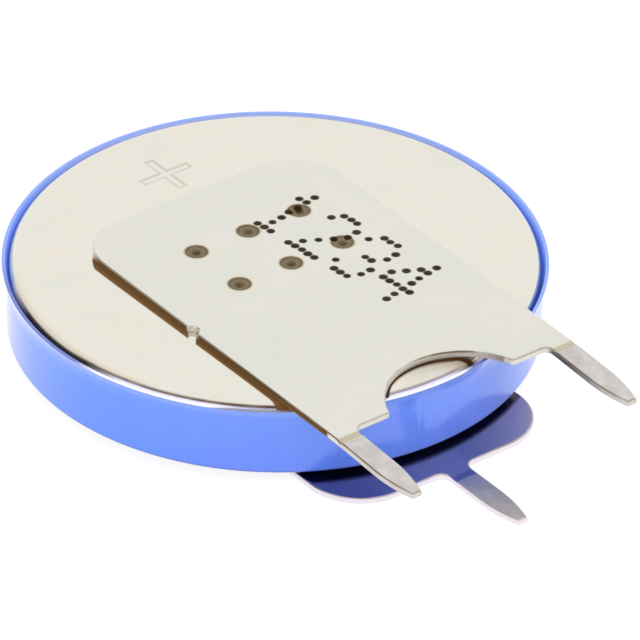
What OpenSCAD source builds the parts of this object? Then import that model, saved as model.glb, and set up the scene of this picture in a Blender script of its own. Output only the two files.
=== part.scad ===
// Lithium coin cell with solder tags, in millimetres.
// The cell lies on its negative tag. The origin is on the cell's axis, on the underside of that tag.
// +Z points up to the positive face, and the pins point along -Y.

/* [Cell] */
// Diameter of the steel can
cell_d = 20; // [16:0.1:24.5]
// Height of the cell, from the face of the cap to the face of the can
cell_h = 3.2; // [2.8:0.05:5.4]
// Sheet thickness of the can
can_t = 0.25; // [0.2:0.01:0.3]
// Outer radius of the can's drawn corner, round the positive face
can_corner_r = 0.36; // [0.35:0.01:0.7]
// Outer radius of the can's rim where it is crimped in
crimp_r = 0.6; // [0.4:0.01:0.8]
// Width of the crimped rim, in from the side of the can
rim_w = 1; // [0.85:0.01:1.3]

/* [Cap] */
// Sheet thickness of the cap
cap_t = 0.25; // [0.2:0.01:0.3]
// How far the cap's face stands proud of the crimped rim
cap_stand = 0.35; // [0.3:0.01:0.6]
// Gap between the edge of the crimped rim and the cap's wall
rim_gap = 0.3; // [0.15:0.01:0.4]
// Outer radius round the cap's face
cap_corner_r = 0.5; // [0.35:0.01:0.6]
// Outer radius of the cap's shoulder, where its skirt starts
skirt_corner_r = 0.35; // [0.31:0.01:0.4]
// Radius inside the bend from the cap's wall to its shoulder
cap_bend_r = 0.12; // [0.05:0.01:0.15]

/* [Gasket] */
// Thickness of the gasket between the can and the cap's skirt
gasket_t = 0.4; // [0.3:0.01:0.5]
// Thickness of the gasket between the crimped rim and the cap's shoulder
gasket_fold_t = 0.3; // [0.2:0.01:0.4]
// Thickness of the gasket's floor, between the can and the end of the skirt
gasket_floor_t = 0.35; // [0.25:0.01:0.5]
// Thickness of the gasket's inner lip
gasket_lip_t = 0.3; // [0.2:0.01:0.35]
// Height of the gasket's inner lip, along the skirt
gasket_lip_h = 0.4; // [0.2:0.01:0.5]
// How deep the gasket's edge lies in the gap beside the cap
gasket_set = 0.08; // [0.02:0.01:0.15]

/* [Active pieces] */
// Thickness of the lithium disc
anode_t = 0.6; // [0.3:0.01:0.8]
// Thickness of the separator
separator_t = 0.15; // [0.05:0.01:0.25]
// Thickness of the mesh between the pellet and the can
collector_t = 0.1; // [0.05:0.01:0.2]
// Gap between the cap's wall and the edge of the separator
separator_gap = 0.05; // [0.02:0.01:0.2]
// Gap between the cap's wall and the edge of the pellet
pellet_gap = 0.35; // [0.1:0.01:0.8]
// Gap between the cap's wall and the edge of the lithium disc
anode_gap = 0.45; // [0.4:0.01:1]
// Radius on the edges of the pressed pellet
pellet_edge_r = 0.12; // [0.05:0.01:0.2]
// Distance between the openings of the mesh
mesh_pitch = 2; // [1.6:0.1:3]
// Width of an opening of the mesh, along its sides
mesh_hole_w = 1; // [0.6:0.05:1]
// Solid band round the edge of the mesh
mesh_rim_w = 0.7; // [0.3:0.1:1.5]

/* [Sleeve] */
// Thickness of the insulating sleeve's film
sleeve_t = 0.12; // [0.08:0.01:0.25]
// How far the film curves away from the can at its open upper edge
sleeve_flare = 0.18; // [0.05:0.01:0.3]
// Height over which it does so
sleeve_flare_h = 0.9; // [0.5:0.05:1.2]
// Thickness of the sleeve's lip, under the crimped rim
sleeve_lip_t = 0.15; // [0.08:0.01:0.25]
// How much of the crimped rim the lip leaves bare
rim_bare_w = 0.1; // [0:0.01:0.25]
// How far the sleeve's upper edge lies below the positive face
sleeve_drop = 0.12; // [0.02:0.01:0.3]
// Radius on the sleeve's lower outer edge
sleeve_foot_r = 0.12; // [0.05:0.01:0.14]

/* [Tags] */
// Sheet thickness of both tags
tag_t = 0.25; // [0.15:0.01:0.3]
// Sideways offset of both tags from the cell's axis, as welded in one jig
tag_shift = -0.3; // [-0.5:0.05:0.5]
// Width of the negative tag's plate
neg_tag_w = 9.9; // [8:0.1:11]
// How far both tags reach back past the cell's axis
tag_back = 5.05; // [3:0.05:5.5]
// Radius of the tags' back corners
back_corner_r = 2; // [1:0.1:3]
// How far the front of the positive tag stands out from the sleeve
pos_tag_out = 0.8; // [0.3:0.05:1.5]
// How far the front of the negative tag stands out from the sleeve
neg_tag_out = 1.1; // [0.3:0.05:1.5]
// Radius of the negative tag's front corners
neg_front_r = 2.3; // [1:0.1:3]
// Radius of the arch cut into the front of the positive tag
arch_r = 3; // [2:0.02:3.4]
// Height of the arch above the tag's front edge
arch_h = 2.1; // [1:0.05:2.5]
// Radius on the two corners at the foot of the arch
arch_corner_r = 0.2; // [0.05:0.01:0.3]
// Diameter of the half-round notch in the positive tag's edge
notch_d = 0.5; // [0.3:0.05:0.8]
// Distance of the notch behind the positive tag's front edge
notch_back = 8.55; // [4:0.05:9]

/* [Pins] */
// Width of a pin
pin_w = 1; // [0.6:0.05:1.2]
// Distance between the two positive pins
pin_pitch = 10; // [9:0.05:11]
// How far the pins' tips stand out from the sleeve
pin_out = 5.15; // [4:0.05:8]
// Length of the taper at the tip of a pin
pin_taper_l = 1.9; // [0.8:0.05:2.2]
// Width of a pin at its tip
pin_tip_w = 0.4; // [0.2:0.05:0.5]
// Fillet at the inner root of each positive pin
pos_root_r = 0.3; // [0.1:0.01:0.5]
// Fillets at the root of the negative pin
neg_root_r = 0.4; // [0.1:0.01:0.6]
// Slope of the positive pins, down from the plate
pin_droop = 3; // [0:0.1:5]
// Length of the pressed crease across a pin's root
crease_l = 0.3; // [0.2:0.01:0.5]
// Depth of the crease
crease_depth = 0.04; // [0.01:0.01:0.08]
// Distance of the crease from the positive tag's front edge
pos_crease_out = 0.25; // [0.05:0.01:0.5]
// Distance of the crease from the negative tag's front edge
neg_crease_out = 0.45; // [0.1:0.01:0.8]

/* [Spot welds] */
// Distance between the welds of a row
weld_pitch_x = 2.42; // [1.5:0.01:3]
// Distance between the two rows
weld_pitch_y = 2.7; // [1.5:0.05:3.5]
// How far the middle of the welds lies behind the cell's axis
weld_back = 0.34; // [-1:0.02:1]
// Number of welds in a row
weld_count = 3; // [1:1:4]
// Diameter of the dish that the welding tip leaves
weld_d = 0.85; // [0.5:0.05:1.2]
// Depth of the dish
weld_depth = 0.05; // [0.02:0.01:0.07]
// Diameter of the pip in the middle of the dish
weld_pip_d = 0.35; // [0.2:0.01:0.45]
// Depth of the pip below the dish
weld_pip_depth = 0.05; // [0.02:0.01:0.07]

/* [Stamped plus] */
// Length of the plus sign's bars, stamped into the positive face behind the tag
plus_l = 2.2; // [1:0.1:2.8]
// Width of the bars
plus_line_w = 0.35; // [0.2:0.01:0.6]
// Depth of the stamping
plus_depth = 0.05; // [0.02:0.01:0.08]
// Distance from the tag's back edge to the middle of the plus sign
plus_back = 1.9; // [1.5:0.1:2.5]

/* [Hidden] */
$fn = 96;
// How far a cutting shape runs past what it cuts
cut = 1;

// Radii, from the outside in
can_r = cell_d / 2;
can_in_r = can_r - can_t;
rim_in_r = can_r - rim_w;
skirt_r = can_in_r - gasket_t;
skirt_in_r = skirt_r - cap_t;
gasket_in_r = skirt_in_r - gasket_lip_t;
cap_r = rim_in_r - rim_gap;
cap_in_r = cap_r - cap_t;
sleeve_r = can_r + sleeve_flare + sleeve_t;
lip_in_r = rim_in_r + rim_bare_w;

// Heights, from the underside of the negative tag up
cap_z = tag_t;
cap_in_z = cap_z + cap_t;
rim_z = cap_z + cap_stand;
rim_in_z = rim_z + can_t;
shoulder_z = rim_in_z + gasket_fold_t;
top_z = cap_z + cell_h;
top_in_z = top_z - can_t;
skirt_z = top_in_z - gasket_floor_t;
separator_z = cap_in_z + anode_t;
pellet_z = separator_z + separator_t;
collector_z = top_in_z - collector_t;
sleeve_z = rim_z - sleeve_lip_t;
sleeve_top_z = top_z - sleeve_drop;

// The positive tag's plate is as wide as its two pins reach
pos_tag_w = pin_pitch + pin_w;

// Places along Y on the tags, and how far the positive pins fall
pos_front_y = -sleeve_r - pos_tag_out;
neg_front_y = -sleeve_r - neg_tag_out;
tip_y = -sleeve_r - pin_out;
bend_y = pos_front_y - pos_crease_out;
droop_z = (bend_y - tip_y) * tan(pin_droop);

// Radius of an arc that starts level and departs by depth over the length run
function arc_r(run, depth) = (run * run + depth * depth) / (2 * depth);

// Half section of a disc from height z0 to z1, its outer corners rounded below and above
module disc_section(r, z0, z1, foot_r, top_r) {
  translate([0, z0 + foot_r]) square([r, z1 - z0 - foot_r - top_r]);
  translate([0, z0]) square([r - foot_r, z1 - z0 - top_r]);
  translate([0, z0 + foot_r]) square([r - top_r, z1 - z0 - foot_r]);
  translate([r - foot_r, z0 + foot_r]) circle(foot_r);
  translate([r - top_r, z1 - top_r]) circle(top_r);
}

// Half section of a dish with a wider skirt above z_step, and a round bend between the two
module step_section(r, wide_r, z0, z_step, z1, foot_r, step_r, bend_r) {
  translate([0, z0]) square([r - foot_r, z1 - z0]);
  translate([0, z0 + foot_r]) square([r, z1 - z0 - foot_r]);
  translate([r - foot_r, z0 + foot_r]) circle(foot_r);
  translate([0, z_step]) square([wide_r - step_r, z1 - z_step]);
  translate([0, z_step + step_r]) square([wide_r, z1 - z_step - step_r]);
  translate([wide_r - step_r, z_step + step_r]) circle(step_r);
  difference() {
    translate([r - bend_r, z_step - bend_r]) square(2 * bend_r);
    translate([r + bend_r, z_step - bend_r]) circle(bend_r);
  }
}

// Outside and inside of the can
module can_outer() {
  disc_section(can_r, rim_z, top_z, crimp_r, can_corner_r);
}

module can_inner() {
  disc_section(can_in_r, rim_in_z, top_in_z, crimp_r - can_t, can_corner_r - can_t);
}

// Outside and inside of the cap. The outside is also what the gasket is pressed against.
module cap_outer() {
  step_section(cap_r, skirt_r, cap_z, shoulder_z, skirt_z, cap_corner_r, skirt_corner_r, cap_bend_r);
}

module cap_inner() {
  step_section(cap_in_r, skirt_in_r, cap_in_z, shoulder_z + cap_t, skirt_z + cut,
               cap_corner_r - cap_t, skirt_corner_r - cap_t, cap_bend_r + cap_t);
}

// Deep-drawn steel can, its rim crimped in over the gasket and a plus sign stamped into its face
module positive_can() {
  color("#e6e4dc")
  difference() {
    rotate_extrude()
    difference() {
      can_outer();
      can_inner();
      square([rim_in_r, rim_in_z + crimp_r]);
    }
    translate([0, tag_back + plus_back, top_z - plus_depth])
    linear_extrude(cut) {
      square([plus_l, plus_line_w], center = true);
      square([plus_line_w, plus_l], center = true);
    }
  }
}

// Drawn steel cap: a flat face, a wall, a shoulder under the crimp, and a skirt
module negative_cap() {
  color("#d9d8d2")
  rotate_extrude()
  difference() {
    cap_outer();
    cap_inner();
  }
}

// Plastic gasket: it lines the can's wall, holds the end of the skirt, and is folded over the shoulder
module sealing_gasket() {
  color("#efefe8")
  rotate_extrude() {
    difference() {
      union() {
        can_inner();
        translate([0, rim_z + gasket_set]) square([rim_in_r, can_t]);
      }
      cap_outer();
      translate([0, skirt_z]) square([gasket_in_r, top_z]);
    }
    translate([gasket_in_r, skirt_z - gasket_lip_h]) square([gasket_lip_t, gasket_lip_h]);
  }
}

// Steel mesh that carries the pellet's current to the can
module cathode_collector() {
  r = cap_in_r - pellet_gap;
  steps = floor(r / mesh_pitch);
  color("#a9a9a6")
  translate([0, 0, collector_z])
  linear_extrude(collector_t)
  difference() {
    circle(r);
    for (i = [-steps : steps], j = [-steps : steps])
      let (x = i * mesh_pitch, y = j * mesh_pitch)
        if (norm([x, y]) + mesh_hole_w * sqrt(0.5) < r - mesh_rim_w)
          translate([x, y]) rotate(45) square(mesh_hole_w, center = true);
  }
}

// Pressed manganese dioxide pellet. It fills the height that the other pieces leave.
module cathode_pellet() {
  color("#2f2e2d")
  rotate_extrude()
  disc_section(cap_in_r - pellet_gap, pellet_z, collector_z, pellet_edge_r, pellet_edge_r);
}

// Porous sheet between the two electrodes
module separator() {
  color("#f2f1ec")
  translate([0, 0, separator_z]) cylinder(r = cap_in_r - separator_gap, h = separator_t);
}

// Disc of lithium, pressed onto the inside of the cap
module lithium_anode() {
  color("#b9bcc0")
  translate([0, 0, cap_in_z]) cylinder(r = cap_in_r - anode_gap, h = anode_t);
}

// Blue plastic sleeve round the can: a film turned in under the crimped rim, its upper edge flared
module insulating_sleeve() {
  flare_z = sleeve_top_z - sleeve_flare_h;
  flare_r = arc_r(sleeve_flare_h, sleeve_flare);
  foot_x = can_r + sleeve_t - sleeve_foot_r;
  foot_z = sleeve_z + sleeve_foot_r;
  color("#6e92f7")
  rotate_extrude()
  difference() {
    union() {
      polygon([[lip_in_r, sleeve_z], [foot_x, sleeve_z], [foot_x, foot_z], [can_r + sleeve_t, foot_z],
               [can_r + sleeve_t, flare_z], [lip_in_r, flare_z]]);
      translate([foot_x, foot_z]) circle(sleeve_foot_r);
      intersection() {
        translate([can_r, flare_z]) square([sleeve_flare + sleeve_t, sleeve_flare_h]);
        translate([can_r + sleeve_t + flare_r, flare_z])
        difference() {
          circle(flare_r + sleeve_t);
          circle(flare_r);
        }
      }
    }
    can_outer();
    // The bore stays straight above the crimp
    translate([0, rim_z + crimp_r]) square([can_r, cell_h]);
  }
}

// Outline of a plate from y0 at the front to y1 at the back, each pair of corners with its own radius
module plate_outline(w, y0, y1, front_r, back_r) {
  translate([-w / 2, y0 + front_r]) square([w, y1 - y0 - front_r - back_r]);
  translate([-w / 2 + front_r, y0]) square([w - 2 * front_r, y1 - y0 - back_r]);
  translate([-w / 2 + back_r, y0 + front_r]) square([w - 2 * back_r, y1 - y0 - front_r]);
  for (side = [-1, 1]) {
    if (front_r > 0) translate([side * (w / 2 - front_r), y0 + front_r]) circle(front_r);
    translate([side * (w / 2 - back_r), y1 - back_r]) circle(back_r);
  }
}

// Outline of a pin from the plate's front edge at y0 to its tip, the taper between two arcs
module pin_outline(y0) {
  taper_y = tip_y + pin_taper_l;
  side_r = arc_r(pin_taper_l, (pin_w - pin_tip_w) / 2);
  translate([-pin_w / 2, taper_y]) square([pin_w, y0 - taper_y + cut / 2]);
  intersection() {
    translate([-pin_w / 2, tip_y]) square([pin_w, pin_taper_l]);
    translate([side_r - pin_w / 2, taper_y]) circle(side_r);
    translate([pin_w / 2 - side_r, taper_y]) circle(side_r);
  }
}

// Fillet that fills the corner at [0, 0], between the edges along +X and -Y
module root_fillet(r) {
  difference() {
    translate([-r / 2, -r]) square([1.5 * r, 1.5 * r]);
    translate([r, -r]) circle(r);
  }
}

// Arch in the front of the positive tag, the corners at its foot rounded off
module arch_cutout() {
  centre_y = pos_front_y + arch_h - arch_r;
  foot_x = sqrt(arch_r * arch_r - (pos_front_y - centre_y) * (pos_front_y - centre_y));
  // Middle of each corner's arc, which touches the front edge and the arch
  reach = arch_r + arch_corner_r;
  mid_y = pos_front_y + arch_corner_r;
  mid_x = sqrt(reach * reach - (mid_y - centre_y) * (mid_y - centre_y));
  touch = arch_r / reach;
  translate([0, centre_y]) circle(arch_r);
  for (side = [-1, 1])
    difference() {
      polygon([[side * (foot_x - arch_corner_r), pos_front_y - arch_corner_r],
               [side * mid_x, pos_front_y - arch_corner_r],
               [side * mid_x, mid_y],
               [side * mid_x * touch, centre_y + (mid_y - centre_y) * touch]]);
      translate([side * mid_x, mid_y]) circle(arch_corner_r);
    }
}

// Dishes and pips of the spot welds, cut into a face at z = 0 from above. They are centred on the cell.
module spot_welds() {
  dish_r = arc_r(weld_d / 2, weld_depth);
  pip_r = arc_r(weld_pip_d / 2, weld_pip_depth);
  for (i = [0 : weld_count - 1], row = [-0.5, 0.5])
    translate([(i - (weld_count - 1) / 2) * weld_pitch_x, weld_back + row * weld_pitch_y, 0]) {
      translate([0, 0, dish_r - weld_depth]) sphere(dish_r);
      translate([0, 0, pip_r - weld_depth - weld_pip_depth]) sphere(pip_r);
    }
}

// Positive tag: one stamped sheet, welded to the can, with an arch and two pins that slope down
module positive_tag() {
  color("#e5e3db")
  translate([tag_shift, 0, top_z])
  difference() {
    intersection() {
      translate([0, 0, -droop_z - cut])
      linear_extrude(droop_z + tag_t + 2 * cut)
      difference() {
        union() {
          plate_outline(pos_tag_w, pos_front_y, tag_back, 0, back_corner_r);
          for (side = [-1, 1]) {
            translate([side * pin_pitch / 2, 0]) pin_outline(pos_front_y);
            translate([side * (pin_pitch / 2 - pin_w / 2), pos_front_y])
            mirror([side > 0 ? 1 : 0, 0]) root_fillet(pos_root_r);
          }
        }
        arch_cutout();
        translate([-pos_tag_w / 2, pos_front_y + notch_back]) circle(d = notch_d);
      }
      // The sheet from its edge: flat, then sloping down from the crease on
      rotate([90, 0, 90])
      linear_extrude(pos_tag_w + pin_w, center = true)
      polygon([[tag_back, 0], [tag_back, tag_t], [bend_y, tag_t], [tip_y, tag_t - droop_z],
               [tip_y, -droop_z], [bend_y, 0]]);
    }
    translate([-tag_shift, 0, tag_t]) spot_welds();
    translate([-pos_tag_w, bend_y - crease_l, tag_t - crease_depth])
    cube([2 * pos_tag_w, crease_l, cut]);
  }
}

// Negative tag: one stamped sheet, welded to the cap, with one pin in the middle
module negative_tag() {
  color("#dcdad2")
  translate([tag_shift, 0, 0])
  difference() {
    linear_extrude(tag_t) {
      plate_outline(neg_tag_w, neg_front_y, tag_back, neg_front_r, back_corner_r);
      pin_outline(neg_front_y);
      for (side = [-1, 1])
        translate([side * pin_w / 2, neg_front_y]) mirror([side < 0 ? 1 : 0, 0]) root_fillet(neg_root_r);
    }
    translate([-tag_shift, 0, 0]) mirror([0, 0, 1]) spot_welds();
    translate([-neg_tag_w / 2, neg_front_y - neg_crease_out - crease_l, tag_t - crease_depth])
    cube([neg_tag_w, crease_l, cut]);
  }
}

positive_can();
negative_cap();
sealing_gasket();
cathode_collector();
cathode_pellet();
separator();
lithium_anode();
insulating_sleeve();
positive_tag();
negative_tag();
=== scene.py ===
import random
from math import asin, atan2, ceil, cos, degrees, exp, hypot, pi, radians, sin, sqrt, tan
import bpy
from mathutils import Matrix, Vector
from mathutils.geometry import delaunay_2d_cdt


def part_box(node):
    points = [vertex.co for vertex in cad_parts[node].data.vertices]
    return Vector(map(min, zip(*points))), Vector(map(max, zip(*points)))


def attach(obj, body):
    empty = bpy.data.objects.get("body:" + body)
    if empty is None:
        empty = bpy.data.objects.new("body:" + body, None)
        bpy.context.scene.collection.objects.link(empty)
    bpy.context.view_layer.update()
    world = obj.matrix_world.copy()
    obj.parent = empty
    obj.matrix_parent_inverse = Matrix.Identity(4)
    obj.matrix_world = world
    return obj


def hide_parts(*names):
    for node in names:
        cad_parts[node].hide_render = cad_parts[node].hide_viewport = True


# Looks of the lithium coin cell. Lengths are in millimetres here, and MM turns them into metres.
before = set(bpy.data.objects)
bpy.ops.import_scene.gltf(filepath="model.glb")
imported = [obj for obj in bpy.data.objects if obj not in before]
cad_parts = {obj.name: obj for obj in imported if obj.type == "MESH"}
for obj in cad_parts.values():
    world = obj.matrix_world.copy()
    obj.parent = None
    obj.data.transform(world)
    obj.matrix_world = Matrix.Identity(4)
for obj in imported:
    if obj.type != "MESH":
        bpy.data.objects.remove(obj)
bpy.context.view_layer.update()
scene = bpy.context.scene
MM = 0.001


def box_mm(node):
    """Lowest and highest corner of a CAD node, in millimetres."""
    low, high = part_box(node)
    return low / MM, high / MM


def clamp(value):
    """The value, held between 0 and 1."""
    return min(1.0, max(0.0, value))


# Sizes read from the CAD nodes
can_low, can_high = box_mm("positive_can")
sleeve_low, sleeve_high = box_mm("insulating_sleeve")
pos_low, pos_high = box_mm("positive_tag")
neg_low, neg_high = box_mm("negative_tag")
CAN_R = can_high.x
TOP_Z = can_high.z
SLEEVE_R = sleeve_high.x
TAG_T = neg_high.z
TIP_Y = pos_low.y
TAG_BACK = pos_high.y
TAG_X = (neg_low.x + neg_high.x) / 2
POS_HALF_W = (pos_high.x - pos_low.x) / 2
NEG_HALF_W = (neg_high.x - neg_low.x) / 2

# Sizes that the nodes' boxes don't give, as in the part's source
CAN_T = 0.25
CAN_CORNER_R = 0.36
CRIMP_R = 0.6
RIM_IN_R = 9.0
PLUS_Y = TAG_BACK + 1.9
PLUS_L = 2.2
PLUS_LINE_W = 0.35
SLEEVE_T = 0.12
SLEEVE_FLARE_H = 0.9
SLEEVE_FOOT_R = 0.12
SLEEVE_LIP_T = 0.15
LIP_IN_R = 9.1
BACK_CORNER_R = 2.0
POS_FRONT_Y = -11.1
NEG_FRONT_Y = -11.4
NEG_FRONT_R = 2.3
ARCH_R = 3.0
ARCH_H = 2.1
ARCH_CORNER_R = 0.2
NOTCH_R = 0.25
NOTCH_Y = POS_FRONT_Y + 8.55
PIN_W = 1.0
PIN_TIP_W = 0.4
PIN_TAPER_L = 1.9
PIN_X = POS_HALF_W - PIN_W / 2
POS_ROOT_R = 0.3
NEG_ROOT_R = 0.4
DROOP = radians(3)
CREASE_L = 0.3
CREASE_DEPTH = 0.04
POS_CREASE_Y = POS_FRONT_Y - 0.25
NEG_CREASE_Y = NEG_FRONT_Y - 0.45
WELD_PITCH_X = 2.42
WELD_PITCH_Y = 2.7
WELD_BACK = 0.34
WELD_R = 0.425
WELD_DEPTH = 0.05
PIP_R = 0.175
PIP_DEPTH = 0.05

# Looks only
ROLL_R = 0.09                         # radius that the punch leaves along the tags' upper edges
BURR_R = 0.03                         # radius along their lower edges
SKIN = 0.012                          # how far a weld's raised rim stays below the CAD face
OUTLINE_STEP = 0.15                   # distance between points along a tag's outline
GRID_X, GRID_Y = 0.4, 0.35            # distances between the points inside it, in staggered rows
GRID_GAP = 0.12                       # least distance from those points to the outline
GRID_CELL = 0.25                      # cells of this size that hold finer points get none of the grid's
NEG_CREASE_DEPTH = 0.008              # the lower pin's crease only shows as a dark line
WELD_SHIFT = (-0.09, -0.08)           # from a weld's place in the part's source to its place in the photo
# Radii of the rings of points round a weld
WELD_RINGS = (0.06, 0.12, PIP_R, 0.24, 0.3, 0.36, 0.4, WELD_R, 0.45, 0.48, 0.53, 0.6, 0.7, 0.85)
STAMP_DEPTH = 0.03                    # depth of the plus sign, whose sides are soft
STAMP_STEP = 0.035                    # distance between points on it
FILM_RIPPLE = 0.003                   # half the height of the sleeve's soft waves
LAMP_DISTANCE = 0.6                   # in metres
# Level directions: to the camera, and roughly to the front, the left and the right of the picture
TO_CAMERA = (-0.616, -0.788, 0)
TO_FRONT = (-0.5, -0.866, 0)
TO_LEFT = (-0.996, 0.087, 0)
TO_RIGHT = (0.5, -0.866, 0)
VIEW_SLOPE = TO_CAMERA[1] / TO_CAMERA[0]

# The printed number, which reads along -Y
DIGITS = "1234"
DIGIT_X, DIGIT_Y = 0.49, 2.17         # lower left dot of the first digit
DIGIT_PITCH = 2.07                    # from one digit to the next
DIGIT_SHIFTS = (0.0, 0.2, 0.45, 0.7)  # how far each digit is set off along X
ROW_STEP = Vector((0.463, 0.088))     # from one row of dots to the one above it
COLUMN_STEP = Vector((0.04, -0.35))
DOT_R = 0.165
DOT_DEPTH = 0.02
SPLASH = (3.55, 2.2, TOP_Z)           # middle of a few fine dark splashes beside the number


# Outlines of the tags

def arc(cx, cy, r, start, end):
    """Points of an arc from one angle to another, in degrees, both ends included."""
    n = max(2, ceil(abs(radians(end - start)) * r / OUTLINE_STEP), ceil(abs(end - start) / 7))
    angles = [radians(start + (end - start) * i / n) for i in range(n + 1)]
    return [(cx + r * cos(a), cy + r * sin(a)) for a in angles]


def resampled(corners):
    """The same open line with its long straight stretches divided."""
    line = [corners[0]]
    for (x0, y0), (x1, y1) in zip(corners, corners[1:]):
        n = max(1, ceil(hypot(x1 - x0, y1 - y0) / OUTLINE_STEP))
        line += [(x0 + (x1 - x0) * i / n, y0 + (y1 - y0) * i / n) for i in range(1, n + 1)]
    return line


def taper(px, side):
    """Arc of a pin's taper on one side of its middle line at px, from the pin's side to its tip."""
    depth = (PIN_W - PIN_TIP_W) / 2
    r = (PIN_TAPER_L ** 2 + depth ** 2) / (2 * depth)
    sweep = atan2(PIN_TAPER_L, r - depth) * 180 / pi
    y = TIP_Y + PIN_TAPER_L
    cx = px + side * (PIN_W / 2 - r)
    return arc(cx, y, r, 0, -sweep) if side > 0 else arc(cx, y, r, 180, 180 + sweep)


def positive_half(notched):
    """Right half of the positive tag's outline, from the top of the arch round to the back edge."""
    cy = POS_FRONT_Y + ARCH_H - ARCH_R
    reach = ARCH_R + ARCH_CORNER_R
    mid_y = POS_FRONT_Y + ARCH_CORNER_R
    mid_x = sqrt(reach ** 2 - (mid_y - cy) ** 2)
    foot = atan2(mid_y - cy, mid_x) * 180 / pi
    root_x = PIN_X - PIN_W / 2 - POS_ROOT_R
    line = arc(0, cy, ARCH_R, 90, foot)
    line += arc(mid_x, mid_y, ARCH_CORNER_R, 180 + foot, 270)[1:]
    line += arc(root_x, POS_FRONT_Y - POS_ROOT_R, POS_ROOT_R, 90, 0)
    line += taper(PIN_X, -1) + taper(PIN_X, 1)[::-1]
    if notched:
        line += arc(POS_HALF_W, NOTCH_Y, NOTCH_R, 270, 90)
    line += arc(POS_HALF_W - BACK_CORNER_R, TAG_BACK - BACK_CORNER_R, BACK_CORNER_R, 0, 90)
    return line + [(0, TAG_BACK)]


def negative_half():
    """Right half of the negative tag's outline, from the pin's tip round to the back edge."""
    corner_x = NEG_HALF_W - NEG_FRONT_R
    line = [(0, TIP_Y)] + taper(0, 1)[::-1]
    line += arc(PIN_W / 2 + NEG_ROOT_R, NEG_FRONT_Y - NEG_ROOT_R, NEG_ROOT_R, 180, 90)
    line += arc(corner_x, NEG_FRONT_Y + NEG_FRONT_R, NEG_FRONT_R, 270, 360)
    line += arc(NEG_HALF_W - BACK_CORNER_R, TAG_BACK - BACK_CORNER_R, BACK_CORNER_R, 0, 90)
    return line + [(0, TAG_BACK)]


def closed(right, left):
    """Closed counterclockwise outline in its place, from the right half and the left half's mirror image."""
    line = resampled(right) + resampled([(-x, y) for x, y in left][::-1])[1:-1]
    kept = []
    for p in [(x + TAG_X, y) for x, y in line]:
        if not kept or hypot(p[0] - kept[-1][0], p[1] - kept[-1][1]) > 1e-4:
            kept.append(p)
    return kept


def normals_2d(line):
    """Outward direction at each point of a counterclockwise outline, long enough to keep the offset even."""
    result = []
    for i, (x, y) in enumerate(line):
        (x0, y0), (x1, y1) = line[i - 1], line[(i + 1) % len(line)]
        a, b = Vector((y - y0, x0 - x)).normalized(), Vector((y1 - y, x - x1)).normalized()
        middle = (a + b).normalized()
        result.append(middle / max(0.5, middle.dot(a)))
    return result


def inside(x, y, line):
    """Whether a point lies within a closed outline."""
    hit = False
    for (x0, y0), (x1, y1) in zip(line, line[1:] + line[:1]):
        if (y0 > y) != (y1 > y) and x < x0 + (y - y0) * (x1 - x0) / (y1 - y0):
            hit = not hit
    return hit


# Marks on the tags

WELDS = [((i - 1) * WELD_PITCH_X + WELD_SHIFT[0], WELD_BACK + row * WELD_PITCH_Y + WELD_SHIFT[1])
         for i in range(3) for row in (-0.5, 0.5)]
GLYPHS = {  # seven rows of five dots, from the top
    "1": "..#.. .##.. ..#.. ..#.. ..#.. ..#.. .###.",
    "2": ".###. #...# ....# ...#. ..#.. .#... #####",
    "3": ".###. #...# ....# ..##. ....# #...# .###.",
    "4": "...#. ..##. .#.#. #..#. ##### ...#. ...#.",
}


def number_dots():
    """Places of the printed number's dots, each with a size and a shade."""
    rng = random.Random(4)
    dots = []
    for n, digit in enumerate(DIGITS):
        base = Vector((DIGIT_X + DIGIT_SHIFTS[n], DIGIT_Y - DIGIT_PITCH * n))
        for row, line in enumerate(reversed(GLYPHS[digit].split())):
            for column, mark in enumerate(line):
                if mark == "#":
                    place = base + row * ROW_STEP + column * COLUMN_STEP
                    place += Vector((rng.gauss(0, 0.015), rng.gauss(0, 0.015)))
                    dots.append((place.x, place.y, rng.uniform(0.92, 1.08), rng.random()))
    return dots


def bowl(d, r, depth):
    """Depth of a round dish at distance d from its middle."""
    return depth * max(0.0, 1 - (d / r) ** 2)


def dot_depth(dots, x, y):
    """Depth of the printed dots' dents at a point."""
    depths = [bowl(hypot(x - dx, y - dy), DOT_R * size, DOT_DEPTH) for dx, dy, size, _ in dots]
    return max(depths, default=0.0)


def dot_mark(dots, x, y):
    """How far a point is printed, and the shade of its dot."""
    mark, tint = 0.0, 0.5
    for dx, dy, size, shade in dots:
        d = hypot(x - dx, y - dy) / (DOT_R * size)
        if d < 1.16:
            mark, tint = max(mark, clamp((1.13 - d) / 0.22)), shade
    return mark, tint


def weld_height(x, y):
    """Height of a tag's face at the welds: a dish, a deeper pip in its middle and a raised rim."""
    z = 0.0
    for wx, wy in WELDS:
        d = hypot(x - wx, y - wy)
        if d < 2 * WELD_R:
            z -= bowl(d, WELD_R, WELD_DEPTH) + bowl(d, PIP_R, PIP_DEPTH)
            z += 0.8 * SKIN * exp(-((d - 1.12 * WELD_R) / 0.06) ** 2)
    return z


def burn(x, y):
    """How strongly a weld has discoloured the face: 1 in its middle, and a faint halo outside."""
    value = 0.0
    for wx, wy in WELDS:
        d = hypot(x - wx, y - wy) / WELD_R
        value = max(value, 1 - 0.5 * d if d <= 1 else 0.5 * exp(-((d - 1) / 0.13) ** 2))
    return value


def crease_height(y, crease_y, depth):
    """Height of the face in the crease that is pressed across the pins from crease_y on."""
    t = (crease_y - y) / CREASE_L
    return -depth * min(1.0, 1.25 * sin(pi * t)) if 0 < t < 1 else 0.0


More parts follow.
